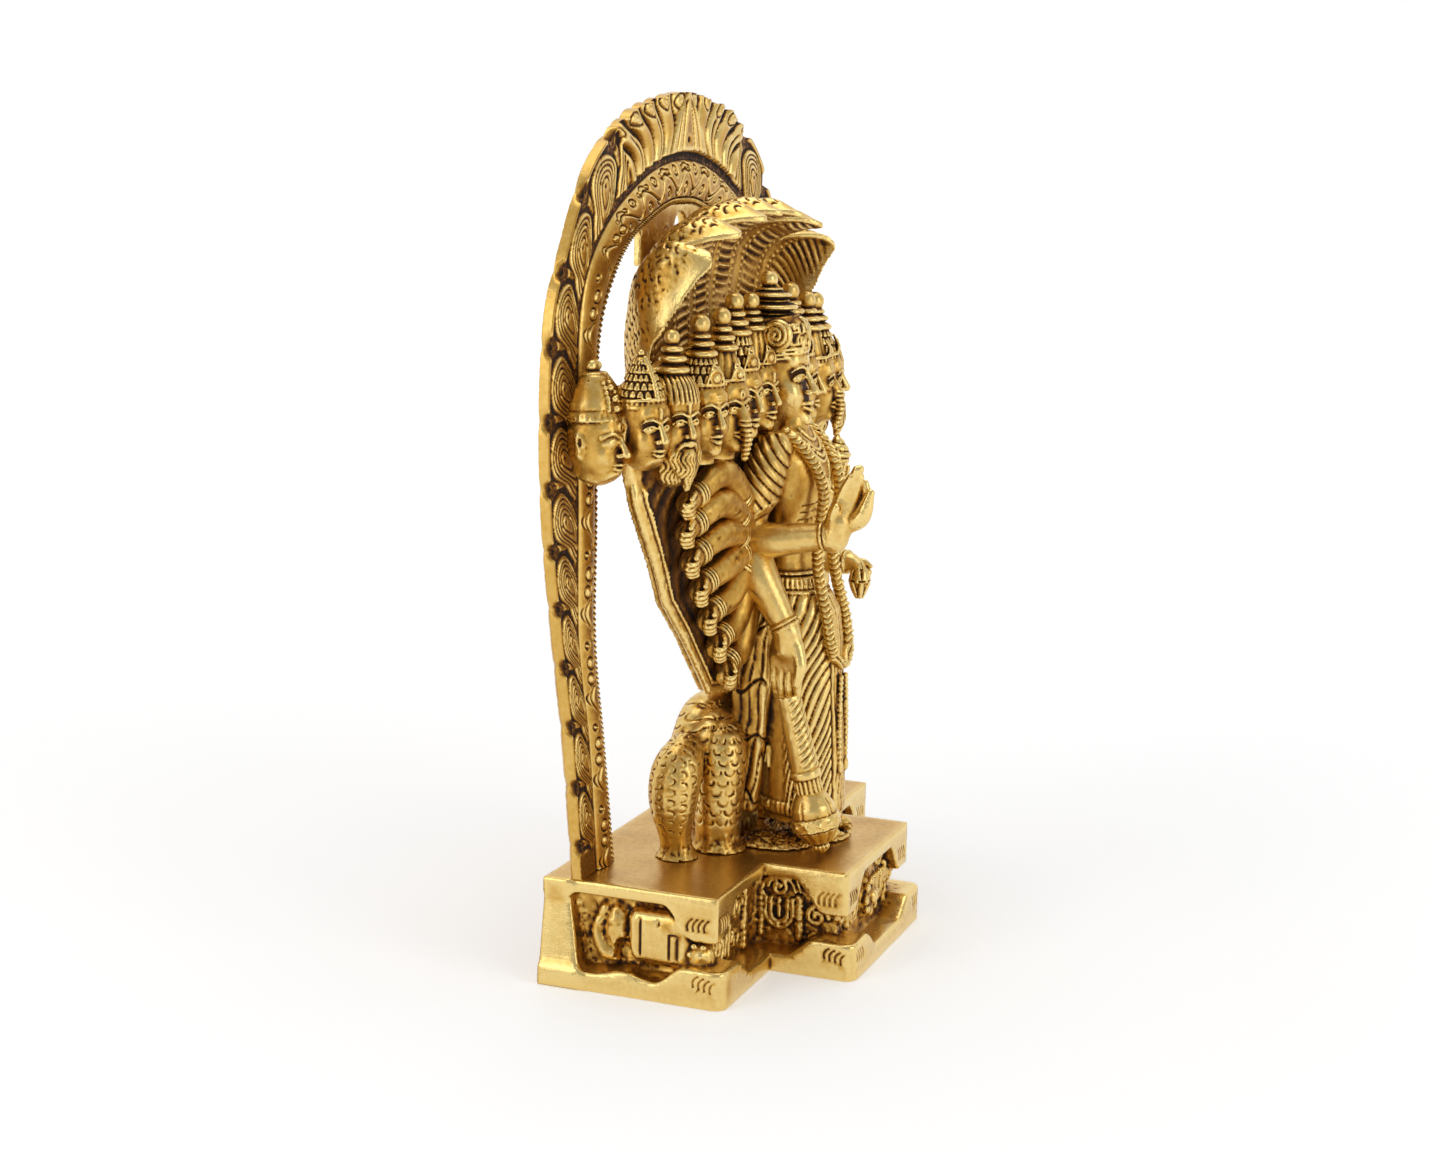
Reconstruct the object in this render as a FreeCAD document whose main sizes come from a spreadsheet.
"""Brass figure of the many-headed standing Vishnu under a seven-headed serpent, on a stepped base.

Millimetres, +Z up. The figure faces -Y and its right hand side is -X. The origin is the middle of
the footprint, on the surface that the base stands on. Each casting is one solid; castings meet
face to face where they are brazed, and the base is held from below by five bolts.
"""

import FreeCAD, Part
import math
import os
import re

V = FreeCAD.Vector
doc = FreeCAD.newDocument("figure")

# ---------------------------------------------------------------- driving sizes

SIZES = {
    # base casting
    "base_height": 50,
    "slab_thickness": 6,
    "flange_height": 8,
    "flange_lip": 6,
    "waist_inset": 7,
    "base_wall": 5,
    "rear_width": 212,
    "front_width": 93,
    "base_back": 66,
    "block_step": -19,
    "slab_front": -60,
    "corner_side": 14,
    "corner_drop": 9,
    "frame_depth": 17,
    # arch casting
    "arch_half_width": 145,
    "arch_top": 400,
    "arch_thickness": 6.5,
    "arch_front": 47.5,
    "foot_outer": 106,
    "foot_inner": 72,
    "window_half_width": 96,
    "window_top": 349,
    "band_half_width": 114,
    "band_top": 372,
    "band_bulge": 2.5,
    "lug_length": 14,
    "lug_height": 7,
    # bridge plate between the arch and the serpent hood
    "bridge_half_width": 46,
    "bridge_bottom": 322,
    "bridge_thickness": 4,
    "bridge_hole_radius": 6,
    # standing figure
    "figure_axis": -15,
    "belt_height": 178,
    "shoulder_height": 238,
    "neck_height": 256,
    "plinth_height": 5,
    "plinth_width": 54,
    "plinth_depth": 34,
    # heads
    "face_half_width": 12,
    "face_half_depth": 13,
    "face_half_height": 19,
    "side_half_width": 10.6,
    "side_half_depth": 12,
    "side_half_height": 19,
    # backing wings and rear arms
    "wing_thickness": 5,
    "wing_seat": 1.5,
    "fan_x": 20,
    "fan_height": 200,
    "arm_reach": 70,
    "upper_arm_radius": 6,
    "wrist_radius": 4.2,
    "fist_radius": 6.5,
    # front arms
    "front_arm_radius": 7,
    "front_wrist_radius": 4.8,
    # serpent
    "hood_half_width": 94,
    "hood_top": 347,
    "hood_back": 46,
    "hood_thickness": 8,
    "trunk_radius": 12,
    "coil_height": 58,
    # mace and garland
    "shaft_radius": 3.2,
    "mace_radius": 9.8,
    "garland_radius": 2.3,
    # bolts
    "bolt_radius": 2,
    "bolt_clearance": 0.1,
    "bolt_reach": 6,
    "bolt_head_radius": 3.5,
    "bolt_head_height": 2.8,
    "washer_radius": 4.5,
    "washer_thickness": 0.8,
}

sheet = doc.addObject("Spreadsheet::Sheet", "Sizes")
for row, (alias, value) in enumerate(SIZES.items(), start=1):
    sheet.set(f"A{row}", alias)
    sheet.set(f"B{row}", str(value))
    sheet.setAlias(f"B{row}", alias)
doc.recompute()


def size(alias):
    return float(sheet.get(alias))


# ---------------------------------------------------------------- small helpers

nodes = {}


def bind(obj, **expressions):
    """Binds properties to sheet expressions; x, y and z stand for the placement."""
    names = r"\b(" + "|".join(SIZES) + r")\b"
    for name, text in expressions.items():
        path = f"Placement.Base.{name}" if name in "xyz" else name
        obj.setExpression(path, re.sub(names, r"Sizes.\1", text))
    return obj


def box(name, **expressions):
    return bind(doc.addObject("Part::Box", name), **expressions)


def cylinder(name, **expressions):
    return bind(doc.addObject("Part::Cylinder", name), **expressions)


def fuse(name, parts):
    obj = doc.addObject("Part::MultiFuse", name)
    obj.Shapes = parts
    return obj


def cut(name, base, tool):
    obj = doc.addObject("Part::Cut", name)
    obj.Base = base
    obj.Tool = tool
    return obj


def feature(name, shape):
    obj = doc.addObject("Part::Feature", name)
    obj.Shape = shape
    return obj


def keep(label, obj):
    """Makes an object one of the sub-parts that are written out."""
    doc.recompute()
    obj.Label = label
    nodes[label] = obj
    return obj


def true_box(shape):
    """Box round the surface itself: a spline face reports one that is too large."""
    bounds = FreeCAD.BoundBox()
    for point in shape.tessellate(0.5)[0]:
        bounds.add(point)
    return bounds


def trimmed(label, raw, *neighbours):
    """The sub-part that is left of a raw solid once its neighbours have their space."""
    shape = raw
    for other in neighbours:
        if true_box(shape).intersect(true_box(other.Shape)):
            shape = shape.cut(other.Shape)
    solid = max(shape.Solids, key=lambda part: part.Volume)
    return keep(label, feature(label + "_solid", solid))


def mirror(label, source):
    """The same casting for the figure's left side."""
    obj = doc.addObject("Part::Mirroring", label + "_mirror")
    obj.Source = source
    obj.Base = V(0, 0, 0)
    obj.Normal = V(1, 0, 0)
    return keep(label, obj)


def spline(points):
    curve = Part.BSplineCurve()
    curve.interpolate([V(*point) for point in points])
    return curve.toShape()


def both_sides(half):
    """Outline points of the +X half, top last, continued down the -X half."""
    return [(-x, z) for x, z in half] + [(x, z) for x, z in reversed(half[:-1])]


JOINT_FULLNESS = 1.08


def limb(points, radii):
    """Round tapering tube through points, with a slightly fuller ball at each joint."""
    balls = [Part.makeSphere(JOINT_FULLNESS * r, V(*p)) for p, r in zip(points, radii)]
    cones = []
    for start, end, r_start, r_end in zip(points, points[1:], radii, radii[1:]):
        run = V(*end) - V(*start)
        if abs(r_start - r_end) < 0.01:
            cones.append(Part.makeCylinder(r_start, run.Length, V(*start), run))
        else:
            cones.append(Part.makeCone(r_start, r_end, run.Length, V(*start), run))
    return balls[0].multiFuse(balls[1:] + cones).removeSplitter()


def ellipsoid(centre, radii):
    ball = Part.makeSphere(1)
    stretch = FreeCAD.Matrix()
    stretch.scale(*radii)
    ball = ball.transformGeometry(stretch)
    ball.translate(V(*centre))
    return ball


# ---------------------------------------------------------------- base casting


def stepped_slab(name, inset, bottom, top, back_inset="0"):
    """T-shaped plate: the wide rear block and the narrower front block."""
    rear = box(
        name + "_rear",
        Length=f"rear_width - 2 * ({inset})",
        Width=f"base_back - block_step - ({inset}) - ({back_inset})",
        Height=f"({top}) - ({bottom})",
        x=f"-rear_width / 2 + ({inset})",
        y=f"block_step + ({inset})",
        z=bottom,
    )
    front = box(
        name + "_front",
        Length=f"front_width - 2 * ({inset})",
        Width=f"block_step - slab_front + corner_side - ({inset})",
        Height=f"({top}) - ({bottom})",
        x=f"-front_width / 2 + ({inset})",
        y=f"slab_front + ({inset})",
        z=bottom,
    )
    return [rear, front]


def corner_blocks(name, outset, bottom, top):
    """Square blocks that hang from the slab, or stand on the flange, at the four front corners."""
    blocks = []
    for half, y in (("rear_width / 2", "block_step"), ("front_width / 2", "slab_front")):
        for side in (-1, 1):
            edge = f"{side} * ({half} + ({outset}))"
            blocks.append(
                box(
                    f"{name}_{len(blocks)}",
                    Length="corner_side",
                    Width="corner_side",
                    Height=f"({top}) - ({bottom})",
                    x=edge if side < 0 else f"{edge} - corner_side",
                    y=f"{y} - ({outset})",
                    z=bottom,
                )
            )
    return blocks


def make_base():
    slab_bottom = "base_height - slab_thickness"
    parts = stepped_slab("slab", "0", slab_bottom, "base_height")
    parts += stepped_slab("waist", "waist_inset", "flange_height / 2", f"{slab_bottom} + 1")
    parts += stepped_slab("flange", "-flange_lip", "0", "flange_height")
    parts += corner_blocks("bracket", "0", f"{slab_bottom} - corner_drop", f"{slab_bottom} + 1")
    parts += corner_blocks("rise", "flange_lip", "flange_height - 1", "flange_height + corner_drop")
    for side in (-1, 1):
        edge = f"{side} * rear_width / 2"
        parts.append(
            box(
                f"back_frame_{'rl'[side > 0]}",
                Length="waist_inset + base_wall",
                Width="frame_depth",
                Height="base_height - 2",
                x=edge if side < 0 else f"{edge} - waist_inset - base_wall",
                y="base_back - frame_depth",
                z="1",
            )
        )
    back_wall = box(
        "back_wall",
        Length="rear_width - 2",
        Width="base_wall",
        Height="base_height - 2",
        x="-rear_width / 2 + 1",
        y="base_back - base_wall",
        z="1",
    )
    outside = fuse("base_outside", parts + [back_wall])
    hollow = stepped_slab("hollow", "waist_inset + base_wall", "-1", slab_bottom, "base_wall")
    holes = [
        cylinder(
            f"bolt_hole_{index}",
            Radius="bolt_radius + bolt_clearance",
            Height="base_height + 10",
            x=x,
            y=y,
            z="0",
        )
        for index, (x, y) in enumerate(BOLTS)
    ]
    return keep("base_casting", cut("base_cut", outside, fuse("base_removed", hollow + holes)))


# Each bolt's place: one in each arch foot, two under the figure and one under the serpent coil.
ARCH_BOLT_X = "(foot_outer + foot_inner) / 2 - 6"
BOLTS = [
    (f"-({ARCH_BOLT_X})", "arch_front + arch_thickness / 2"),
    (ARCH_BOLT_X, "arch_front + arch_thickness / 2"),
    ("-plinth_width / 5", "figure_axis - 14"),
    ("plinth_width / 5", "figure_axis - 14"),
    ("0", "trunk_radius + 8"),
]


def bolt_shanks():
    """The tapped holes that the bolts leave in whatever stands on the base."""
    shanks = []
    for index in range(len(BOLTS)):
        place = doc.getObject(f"bolt_hole_{index}").Placement.Base
        reach = size("bolt_reach") + 0.5
        start = V(place.x, place.y, size("base_height") - 1)
        shanks.append(Part.makeCylinder(size("bolt_radius") + size("bolt_clearance"), reach + 1, start))
    return Part.makeCompound(shanks)


def make_bolts():
    washers = []
    bolts = []
    slab_bottom = "base_height - slab_thickness"
    for index, (x, y) in enumerate(BOLTS):
        ring = cylinder(
            f"washer_disc_{index}",
            Radius="washer_radius",
            Height="washer_thickness",
            x=x,
            y=y,
            z=f"{slab_bottom} - washer_thickness",
        )
        bore = cylinder(
            f"washer_bore_{index}",
            Radius="bolt_radius + bolt_clearance",
            Height="washer_thickness",
            x=x,
            y=y,
            z=f"{slab_bottom} - washer_thickness",
        )
        washers.append(cut(f"washer_{index}", ring, bore))
        head = doc.addObject("Part::Prism", f"bolt_head_{index}")
        head.Polygon = 6
        bind(
            head,
            Circumradius="bolt_head_radius",
            Height="bolt_head_height",
            x=x,
            y=y,
            z=f"{slab_bottom} - washer_thickness - bolt_head_height",
        )
        shank = cylinder(
            f"bolt_shank_{index}",
            Radius="bolt_radius",
            Height="slab_thickness + washer_thickness + bolt_reach + 0.5",
            x=x,
            y=y,
            z=f"{slab_bottom} - washer_thickness - 0.5",
        )
        bolts.append(fuse(f"bolt_{index}", [head, shank]))
    for label, group in (("base_washers", washers), ("base_bolts", bolts)):
        compound = doc.addObject("Part::Compound", label + "_group")
        compound.Links = group
        keep(label, compound)


# ---------------------------------------------------------------- arch casting

# Shape of each outline as shares of its half width and of its height above the base.
OUTER_SHAPE = [(0.814, 0.195), (0.903, 0.34), (0.966, 0.434), (1, 0.586), (0.979, 0.703)]
OUTER_SHAPE += [(0.876, 0.809), (0.676, 0.926), (0.38, 0.978), (0, 1)]
BAND_SHAPE = [(0.868, 0.196), (0.968, 0.348), (0.99, 0.54), (1, 0.66), (0.99, 0.77)]
BAND_SHAPE += [(0.9, 0.85), (0.73, 0.913), (0.5, 0.96), (0, 1)]
WINDOW_SHAPE = [(0.88, 0.2), (0.98, 0.365), (0.995, 0.54), (1, 0.7), (0.964, 0.82)]
WINDOW_SHAPE += [(0.82, 0.896), (0.61, 0.95), (0.3, 0.987), (0, 1)]


def arch_outline(shape, half_width, top, foot):
    """Outline points from one foot over the top to the other."""
    floor = size("base_height")
    half = [(foot, floor)] + [(x * half_width, floor + z * (top - floor)) for x, z in shape]
    return both_sides(half)


def ring_plate(outer, inner, front, depth):
    """Plate between two outlines, both open at the feet."""
    edges = []
    for outline in (outer, inner):
        edges.append(spline([(x, front, z) for x, z in outline]))
    for index in (0, -1):
        start = V(outer[index][0], front, outer[index][1])
        end = V(inner[index][0], front, inner[index][1])
        edges.append(Part.LineSegment(start, end).toShape())
    wire = Part.Wire(Part.__sortEdges__(edges))
    return Part.Face(wire).extrude(V(0, depth, 0))


def make_arch():
    front = size("arch_front")
    outer = arch_outline(OUTER_SHAPE, size("arch_half_width"), size("arch_top"), size("foot_outer"))
    border = (size("foot_outer") + size("foot_inner")) / 2
    band = arch_outline(BAND_SHAPE, size("band_half_width"), size("band_top"), border)
    window = arch_outline(WINDOW_SHAPE, size("window_half_width"), size("window_top"), size("foot_inner"))
    plate = ring_plate(outer, window, front, size("arch_thickness"))
    bulge = ring_plate(band, window, front - size("band_bulge"), size("band_bulge") + 0.5)
    shape = plate.fuse(bulge)
    for side in (-1, 1):
        inner_end = side * size("foot_inner")
        corner = V(min(inner_end, inner_end - side * size("lug_length")) - 1, front - 3, size("base_height"))
        lug = Part.makeBox(size("lug_length") + 2, size("arch_thickness") + 3, size("lug_height"), corner)
        shape = shape.fuse(lug)
    shape = shape.cut(bolt_shanks())
    return keep("arch_frame", feature("arch_solid", shape.removeSplitter()))


def make_bridge(arch, hood):
    """Plate in the top of the window that ties the serpent hood to the arch."""
    half_width = size("bridge_half_width")
    bottom = size("bridge_bottom")
    plate = Part.makeBox(
        2 * half_width,
        size("bridge_thickness"),
        size("window_top") - bottom + 1,
        V(-half_width, size("arch_front"), bottom),
    )
    hole = Part.makeCylinder(
        size("bridge_hole_radius"),
        size("bridge_thickness") + 2,
        V(0, size("arch_front") - 1, size("window_top") - 12),
        V(0, 1, 0),
    )
    return trimmed("hood_bridge", plate.cut(hole), arch, hood)


# ---------------------------------------------------------------- standing figure

# Height, distance of the centre behind figure_axis, half width and half depth of each section.
FIGURE_SECTIONS = [
    ("base_height + 3", -11, 23, 13),
    ("base_height + 25", -7, 22, 15),
    ("base_height + 60", -2, 22, 17),
    ("base_height + 100", 0, 22, 18),
    ("belt_height", 1, 19, 14.5),
    ("(belt_height + shoulder_height) / 2 - 8", 2, 17, 12.5),
    ("shoulder_height - 14", 2, 25, 14.5),
    ("shoulder_height", 4, 26, 12),
    ("shoulder_height + 8", 4, 10, 9),
    ("neck_height", 4, 8, 7.5),
]


def make_figure():
    sections = []
    for index, (height, behind, half_width, half_depth) in enumerate(FIGURE_SECTIONS):
        ring = doc.addObject("Part::Ellipse", f"section_{index}")
        bind(ring, y=f"figure_axis + {behind}", z=height)
        ring.MajorRadius = max(half_width, half_depth)
        ring.MinorRadius = min(half_width, half_depth)
        if half_depth > half_width:
            ring.Placement.Rotation = FreeCAD.Rotation(V(0, 0, 1), 90)
        sections.append(ring)
    loft = doc.addObject("Part::Loft", "figure_loft")
    loft.Sections = sections
    loft.Solid = True
    plinth = box(
        "plinth",
        Length="plinth_width",
        Width="plinth_depth",
        Height="plinth_height",
        x="-plinth_width / 2",
        y="figure_axis - 12 - plinth_depth / 2",
        z="base_height",
    )
    whole = fuse("figure_whole", [loft, plinth])
    doc.recompute()
    shanks = feature("figure_taps", bolt_shanks())
    return keep("figure_body", cut("figure_cut", whole, shanks))


def head_with_crown(centre, radii, top, lean=0.0):
    """Egg-shaped head, a tapering crown and its finial, facing -Y."""
    x, y, z = centre
    head = ellipsoid(centre, radii)
    crown_foot = z + 0.55 * radii[2]
    crown_height = top - crown_foot - 5
    crown = Part.makeCone(
        0.86 * radii[0],
        0.45 * radii[0],
        crown_height,
        V(x, y + 1, crown_foot),
        V(0, lean, 1),
    )
    finial = Part.makeSphere(3.6, V(x, y + 1 + lean * crown_height, top - 3.6))
    return head.multiFuse([crown, finial]).removeSplitter()


def make_main_head(body):
    radii = (size("face_half_width"), size("face_half_depth"), size("face_half_height"))
    centre = (0, size("figure_axis") + 4.5, size("neck_height") + radii[2] - 5)
    raw = head_with_crown(centre, radii, centre[2] + 43, lean=0.22)
    return trimmed("main_head", raw, body)


# Each head's distance out along X, place along Y, centre and top above the neck, outward turn in degrees.
SIDE_HEADS = [
    (18.3, -6.0, 10, 51, 16),
    (38.3, -4.6, 9, 52, 20),
    (58.3, -4.6, 6, 46, 24),
    (77.8, -0.8, 6, 42, 30),
    (96.4, 5.3, 4, 41, 34),
    (112.5, 14.7, 4, 36, 28),
    (121.5, 33.3, 2, 32, 12),
]


def make_side_heads(main_head, wing, arch, body):
    radii = (size("side_half_width"), size("side_half_depth"), size("side_half_height"))
    neck = size("neck_height")
    inner = main_head
    heads = []
    for number, (x, y, centre, top, turn) in enumerate(SIDE_HEADS, start=1):
        raw = head_with_crown((-x, y, neck + centre), radii, neck + top)
        raw.rotate(V(-x, y, 0), V(0, 0, 1), -turn)
        inner = trimmed(f"side_head_right_{number}", raw, inner, wing, arch, body, main_head)
        heads.append(inner)
        mirror(f"side_head_left_{number}", inner)
    return heads


# ---------------------------------------------------------------- wings and rear arms

ARM_COUNT = 7
TOP_ARM_ANGLE = 15
ARM_STEP = 12.6


def fan_point(radius, angle):
    """A point of the fan of arms, seen from the front: distance out along X, and height."""
    turn = math.radians(angle)
    return size("fan_x") + radius * math.cos(turn), size("fan_height") + radius * math.sin(turn)


def wing_front(x):
    """Where the front face of the wing lies along Y, at a distance x out from the middle."""
    points = [(0, 3)] + [
        (head_x, head_y + size("side_half_depth") - size("wing_seat"))
        for head_x, head_y, _, _, _ in SIDE_HEADS[:-1]
    ]
    points.append((130, 42))
    for (x0, y0), (x1, y1) in zip(points, points[1:]):
        if x <= x1:
            return y0 + (y1 - y0) * (x - x0) / (x1 - x0)
    return points[-1][1]


def make_wing(body):
    """Curved plate behind the heads and the rear arms of the right side."""
    depth = size("wing_thickness")
    columns = [4, 18, 38, 58, 78, 96, 112]
    front = [(-x, wing_front(x), 0) for x in columns]
    back = [(x, y + depth, z) for x, y, z in front]
    edges = [
        spline(front),
        spline(back),
        Part.LineSegment(V(*front[0]), V(*back[0])).toShape(),
        Part.LineSegment(V(*front[-1]), V(*back[-1])).toShape(),
    ]
    plan = Part.Face(Part.Wire(Part.__sortEdges__(edges))).extrude(V(0, 0, size("window_top")))
    reach = size("arm_reach")
    low = fan_point(reach + 8, TOP_ARM_ANGLE - ARM_STEP * (ARM_COUNT - 1))
    middle = fan_point(reach + 4, TOP_ARM_ANGLE - ARM_STEP * 2.6)
    high = fan_point(reach + 19, TOP_ARM_ANGLE)
    neck = size("neck_height")
    outline = [(3, low[1] - 10), low, middle, high, (112, neck - 4), (112, neck + 20)]
    outline += [(84, neck + 34), (3, neck + 36)]
    corners = [V(-x, -20, z) for x, z in outline]
    elevation = Part.Face(Part.makePolygon(corners + corners[:1])).extrude(V(0, 90, 0))
    return trimmed("wing_right", plan.common(elevation), body)


def make_rear_arms(side, wing, body, heads):
    """Seven arms of one side (-1 for the right), each with its elbow above the line to the fist."""
    word = "right" if side < 0 else "left"
    radii = [size("upper_arm_radius")] * 2 + [size("wrist_radius"), size("fist_radius")]
    before = []
    for number in range(1, ARM_COUNT + 1):
        angle = TOP_ARM_ANGLE - ARM_STEP * (number - 1)
        reach = size("arm_reach")
        shoulder = fan_point(4, angle)
        elbow = fan_point(0.52 * reach, angle + 9)
        wrist = fan_point(reach - 11, angle + 1)
        fist = fan_point(reach, angle)
        points = [
            (side * x, wing_front(x) - radius + 1, z)
            for (x, z), radius in zip((shoulder, elbow, wrist, fist), radii)
        ]
        raw = limb(points, radii)
        before.append(trimmed(f"rear_arm_{word}_{number}", raw, body, wing, *before, *heads))
    return before


# ---------------------------------------------------------------- front arms and what they hold


def front_arm_points():
    """Shoulder, elbow, wrist and finger end of each front arm."""
    axis = size("figure_axis")
    top = size("shoulder_height")
    belt = size("belt_height")
    return {
        "front_arm_right_upper": [
            (-25, axis + 5, top - 3),
            (-32, axis + 11, top - 39),
            (-31, axis - 25, top - 34),
            (-31, axis - 37, top - 6),
        ],
        "front_arm_right_lower": [
            (-20, axis + 8, belt + 7),
            (-34, axis + 5, belt + 4),
            (-29, axis - 9, belt - 20),
            (-27, axis - 9, belt - 48),
        ],
        "front_arm_left_upper": [
            (25, axis + 5, top - 3),
            (44, axis + 13, top - 36),
            (54, axis + 6, top - 30),
            (57, axis + 1, top - 21),
        ],
        "front_arm_left_lower": [
            (20, axis + 8, belt + 7),
            (43, axis + 8, belt + 1),
            (43, axis - 8, belt - 1),
            (40, axis - 15, belt + 1),
        ],
    }


def make_front_arms(blockers):
    thick = size("front_arm_radius")
    thin = size("front_wrist_radius")
    arms = {}
    for label, points in front_arm_points().items():
        raw = limb(points, [thick, thick - 0.5, thin, thin - 0.6])
        others = [arm for other, arm in arms.items() if other.split("_")[2] == label.split("_")[2]]
        arms[label] = trimmed(label, raw, *blockers, *others)
    return arms


def make_mace(hand, blockers):
    """Club that stands on the plinth under the lower right hand, leaning back at its top."""
    fingers = V(*front_arm_points()["front_arm_right_lower"][3])
    foot = V(fingers.x + 2, size("slab_front") + 24, size("base_height"))
    lean = fingers - foot
    shaft = Part.makeCylinder(size("shaft_radius"), lean.Length, foot, lean)
    unit = V(lean).normalize()
    radius = size("mace_radius")
    knob = Part.makeCone(0.35 * radius, radius, 14, foot + unit * 2, lean)
    belt = Part.makeCylinder(radius, 8, foot + unit * 16, lean)
    dome = Part.makeCone(radius, 0.45 * radius, 12, foot + unit * 24, lean)
    collar = Part.makeCylinder(0.62 * radius, 7, foot + unit * 34, lean)
    raw = shaft.multiFuse([knob, belt, dome, collar]).removeSplitter()
    floor = Part.makeBox(120, 120, 10, V(-60, -80, size("base_height") - 10))
    return trimmed("mace", raw.cut(floor), hand, *blockers)


def make_held_things(arms):
    """Conch on the raised left hand and lotus bud in the lowered one."""
    points = front_arm_points()
    x, y, z = points["front_arm_left_upper"][3]
    shell = Part.makeCone(6.5, 1.5, 14, V(x, y, z + 6)).fuse(ellipsoid((x, y, z + 6), (6.5, 6.5, 6)))
    trimmed("conch", shell, arms["front_arm_left_upper"])
    x, y, z = points["front_arm_left_lower"][3]
    bud = ellipsoid((x, y - 3, z - 9), (5, 5, 9))
    trimmed("lotus_bud", bud, arms["front_arm_left_lower"])


def make_garland(blockers):
    """Long garland: two falls from the shoulders that meet in a round loop over the shins."""
    radius = size("garland_radius")
    axis = size("figure_axis")
    half_width = 12
    top = size("shoulder_height") - 6
    bottom = size("belt_height") - 44
    plane_top = axis - 13
    plane_bottom = axis - 21
    falls = []
    for side in (-1, 1):
        start = V(side * half_width, plane_top, top)
        run = V(side * half_width, plane_bottom, bottom + half_width) - start
        falls.append(Part.makeCylinder(radius, run.Length, start, run))
        falls.append(Part.makeSphere(JOINT_FULLNESS * radius, start + run))
    loop = Part.makeTorus(half_width, radius, V(0, plane_bottom, bottom + half_width), V(0, 1, 0))
    lower = Part.makeBox(
        4 * half_width, 20, 2 * half_width, V(-2 * half_width, plane_bottom - 10, bottom - half_width)
    )
    tube = loop.common(lower).multiFuse(falls).removeSplitter()
    return trimmed("garland", tube, *blockers)


# ---------------------------------------------------------------- serpent


def hood_section(x):
    """Closed hooked outline of the hood at a distance x from the middle."""
    share = (x / size("hood_half_width")) ** 2
    tip = size("hood_top") - 22 * share
    back = size("hood_back") - 7 * share
    low = size("neck_height") + 8 + 16 * share
    thick = size("hood_thickness")
    outer = [(0, tip), (11, tip + 3), (25, tip), (36, tip - 10), (back - 1, tip - 24)]
    outer += [(back, tip - 38), (back - 3, low)]
    inner = [(back - 3 - thick, low), (back - thick, tip - 38), (back - thick - 2, tip - 27)]
    inner += [(27, tip - 16), (20, tip - 8), (10, tip - 5), (0, tip - 6)]
    corners = [V(x, y, z) for y, z in outer + inner]
    return Part.makePolygon(corners + corners[:1])


def make_hood(blockers):
    half_width = size("hood_half_width")
    shares = (-1, -0.8, -0.5, -0.2, 0.2, 0.5, 0.8, 1)
    raw = Part.makeLoft([hood_section(share * half_width) for share in shares], True, True)
    return trimmed("serpent_hood", raw, *blockers)


def make_trunk(hood, blockers):
    """The serpent's body, which rises behind the figure from the coil and spreads into the hood."""
    radius = size("trunk_radius")
    # Height, place along Y, half width and half depth.
    sections = [
        (size("base_height") + 50, radius + 7, radius + 2, radius - 3),
        (size("belt_height") - 28, radius + 6, radius, radius - 3),
        (size("fan_height"), radius + 7, radius + 1, radius - 3),
        (size("shoulder_height"), radius + 15, radius + 14, radius - 4),
        (size("neck_height") + 16, size("hood_back") - 7, 44, 5),
    ]
    rings = []
    for height, y, half_width, half_depth in sections:
        curve = Part.Ellipse(V(0, y, height), half_width, half_depth)
        rings.append(Part.Wire(curve.toShape()))
    raw = Part.makeLoft(rings, True, False)
    return trimmed("serpent_trunk", raw, hood, *blockers)


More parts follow.
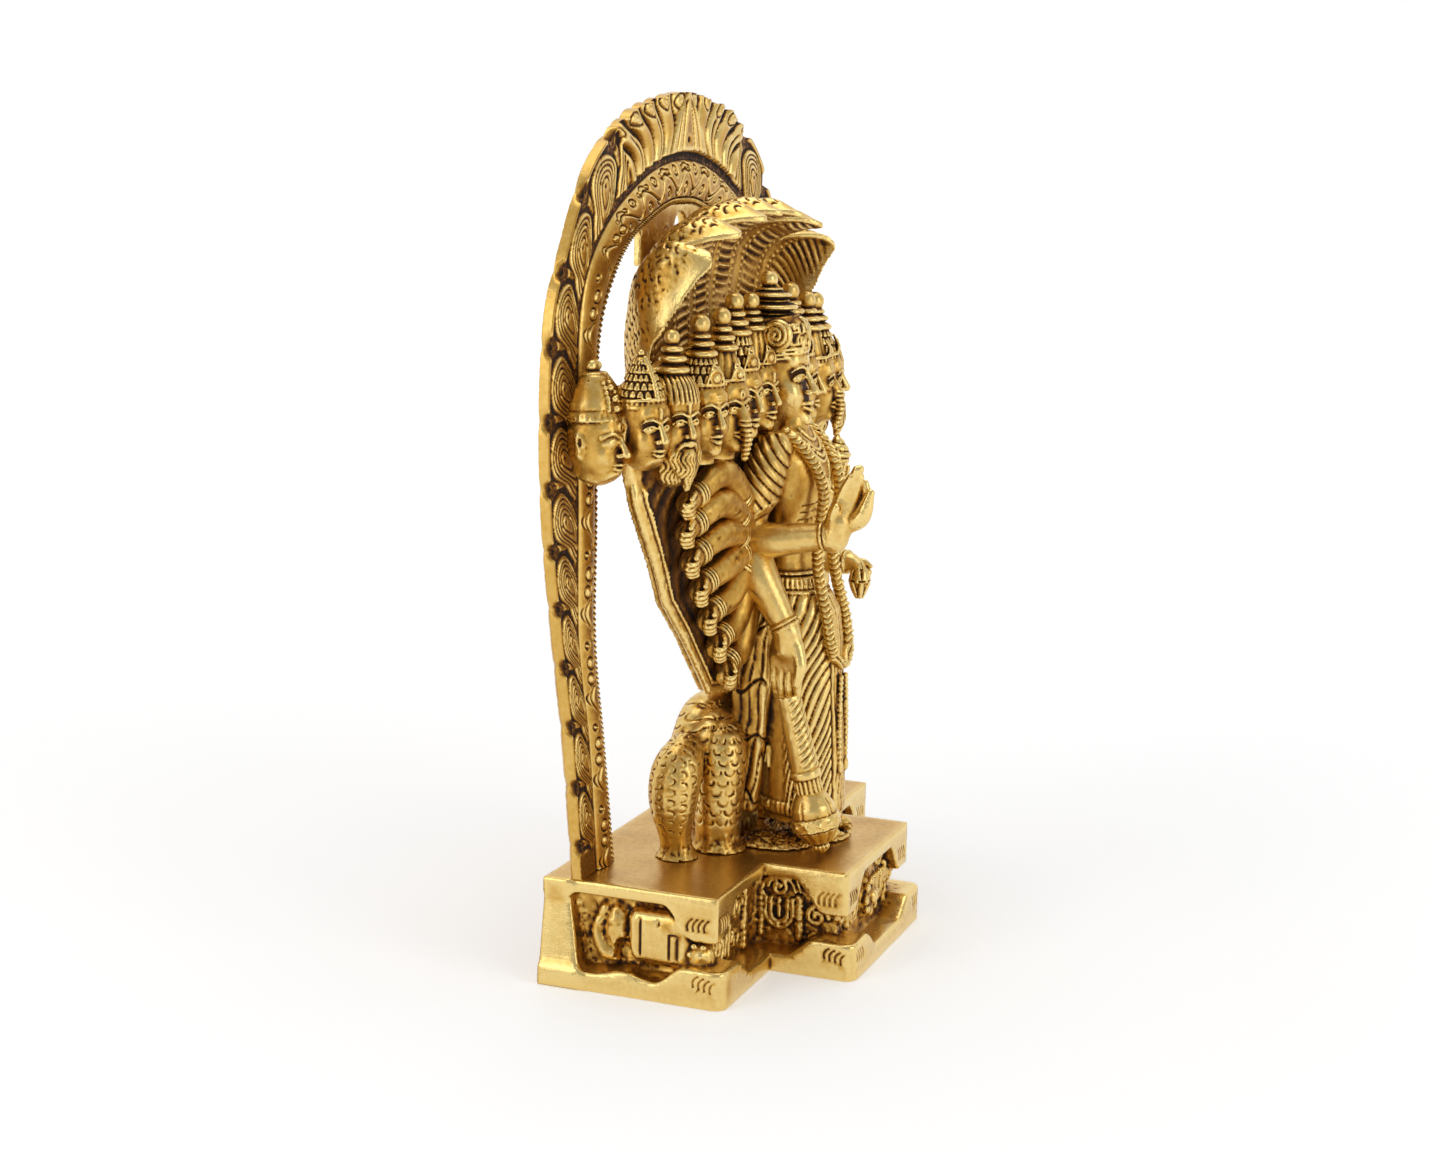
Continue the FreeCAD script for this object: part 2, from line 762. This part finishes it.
def make_coil(trunk, blockers):
    """Lying turns of the serpent behind the legs, whose bends stand as lobes at each side."""
    floor = size("base_height")
    height = size("coil_height")
    outer, inner = 12, 11
    core = Part.makeCylinder(16, height, V(0, 19, floor))
    lobes = []
    for side in (-1, 1):
        stand = [(side * 52, 22.5, floor), (side * 50, 22.5, floor + height - outer)]
        lobes.append(limb(stand, [outer + 1, outer]))
        lobes.append(limb([(side * 28, 9, floor), (side * 30, 9, floor + height - 6)], [inner + 1, inner]))
        lobes.append(
            limb([(side * 8, 21, floor + height - 2), (side * 33, 21, floor + height - 2)], [outer + 1] * 2)
        )
        lobes.append(limb([(side * 8, 21, floor + 12), (side * 52, 22.5, floor + 14)], [outer + 0.5, outer]))
    raw = core.multiFuse(lobes).removeSplitter()
    below = Part.makeBox(300, 200, 20, V(-150, -100, floor - 20))
    return trimmed("serpent_coil", raw.cut(below).cut(bolt_shanks()), *blockers, trunk)


# ---------------------------------------------------------------- build


def build():
    base = make_base()
    make_bolts()
    body = make_figure()
    arch = make_arch()
    wing = make_wing(body)
    wing_left = mirror("wing_left", wing)
    main_head = make_main_head(body)
    heads = make_side_heads(main_head, wing, arch, body)
    left_heads = [nodes[f"side_head_left_{number}"] for number in range(1, len(SIDE_HEADS) + 1)]
    rear_arms = make_rear_arms(-1, wing, body, heads) + make_rear_arms(1, wing_left, body, left_heads)
    hood = make_hood([arch, wing, wing_left])
    make_bridge(arch, hood)
    trunk = make_trunk(hood, [wing, wing_left, body])
    coil = make_coil(trunk, [base, body, wing, wing_left])
    arms = make_front_arms([body, wing, wing_left] + rear_arms)
    mace = make_mace(arms["front_arm_right_lower"], [body])
    make_garland([body, mace] + list(arms.values()))
    make_held_things(arms)


def write():
    """Checks every object of the document, then writes each sub-part."""
    doc.recompute()
    for obj in doc.Objects:
        if "Invalid" in obj.State or "Error" in obj.State:
            raise RuntimeError(f"{obj.Name} failed: {obj.State}")
    faulty = []
    for label, obj in nodes.items():
        if obj.Shape.isNull() or not obj.Shape.isValid() or not obj.Shape.Solids:
            faulty.append(label)
    if faulty:
        raise RuntimeError(f"not valid solids: {faulty}")
    os.makedirs("parts", exist_ok=True)
    for label, obj in nodes.items():
        obj.Shape.exportStep(f"parts/{label}.step")
    print(f"{len(nodes)} sub-parts")


build()
write()
